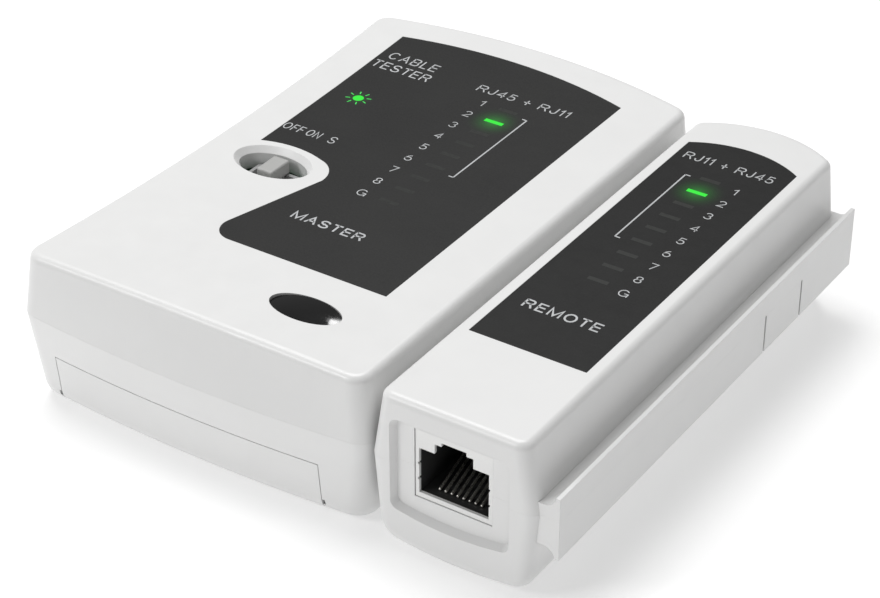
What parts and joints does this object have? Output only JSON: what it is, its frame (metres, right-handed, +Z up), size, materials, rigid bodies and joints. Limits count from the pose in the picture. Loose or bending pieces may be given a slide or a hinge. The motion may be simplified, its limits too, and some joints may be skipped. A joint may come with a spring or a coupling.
{
  "type": "network cable tester",
  "caption": "Handheld network cable tester: a wide master case with battery, slide switch, button and light column, and a narrow remote that slides onto its side rail.",
  "frame": {"origin": "middle of the docked pair's footprint, on the table", "axes": "+X from the master to the remote, +Y from the user towards the port end of the master, +Z up through the label faces"},
  "size_m": [0.0974, 0.1046, 0.0271],
  "materials": {
    "case_white": "fine satin moulded ABS",
    "label_dark": "satin printed polycarbonate film",
    "light_window": "smoked translucent light guide",
    "board_green": "solder mask over glass-fibre board",
    "led_green": "clear green light-emitting diode",
    "component_black": "moulded epoxy",
    "switch_grey": "moulded switch body",
    "knob_grey": "satin moulded nylon",
    "button_black": "polished moulded cap",
    "battery_sleeve": "plain printed steel sleeve",
    "snap_black": "soft vinyl snap cover",
    "lead_red": "vinyl wire insulation",
    "lead_black": "vinyl wire insulation",
    "steel": "zinc plated",
    "socket_white": "glass-filled socket housing",
    "socket_black": "moulded socket insert",
    "contact_gold": "gold flashed spring wire"
  },
  "bodies": {
    "master": {"master_top_shell": "case_white", "master_bottom_shell": "case_white", "master_label": "label_dark", "master_light_windows": "light_window", "power_light_window": "light_window", "master_board": "board_green", "master_leds": "led_green", "power_led": "led_green", "master_chip": "component_black", "master_resistors": "component_black", "master_capacitor": "component_black", "switch_housing": "switch_grey", "button_switch_housing": "component_black", "battery": "battery_sleeve", "battery_terminals": "steel", "battery_snap": "snap_black", "battery_lead_red": "lead_red", "battery_lead_black": "lead_black", "master_case_screws": "steel", "master_board_screws": "steel", "master_rj45_housing": "socket_white", "master_rj45_liner": "socket_black", "master_rj45_contacts": "contact_gold", "master_rj11_housing": "socket_white", "master_rj11_liner": "socket_black", "master_rj11_contacts": "contact_gold"},
    "battery_door": {"battery_door": "case_white"},
    "switch_knob": {"switch_knob": "knob_grey"},
    "test_button": {"test_button": "button_black", "button_switch_plunger": "component_black"},
    "remote": {"remote_top_shell": "case_white", "remote_bottom_shell": "case_white", "remote_label": "label_dark", "remote_light_windows": "light_window", "remote_board": "board_green", "remote_leds": "led_green", "remote_diodes": "component_black", "remote_case_screws": "steel", "remote_rj45_housing": "socket_white", "remote_rj45_liner": "socket_black", "remote_rj45_contacts": "contact_gold", "remote_rj11_housing": "socket_white", "remote_rj11_liner": "socket_black", "remote_rj11_contacts": "contact_gold"}
  },
  "joints": [
    {"name": "remote_dock_slide", "type": "slide", "parent": "master", "child": "remote", "axis": [0, -1, 0], "range_m": [0, 0.096]},
    {"name": "battery_door_slide", "type": "slide", "parent": "master", "child": "battery_door", "axis": [0, -1, 0], "range_m": [0, 0.034]},
    {"name": "switch_knob_slide", "type": "slide", "parent": "master", "child": "switch_knob", "axis": [1, 0, 0], "range_m": [-0.0025, 0.0025]},
    {"name": "test_button_press", "type": "slide", "parent": "master", "child": "test_button", "axis": [0, 0, -1], "range_m": [0, 0.0004], "stiffness_N_per_m": 400, "springref_m": -0.0002}
  ]
}
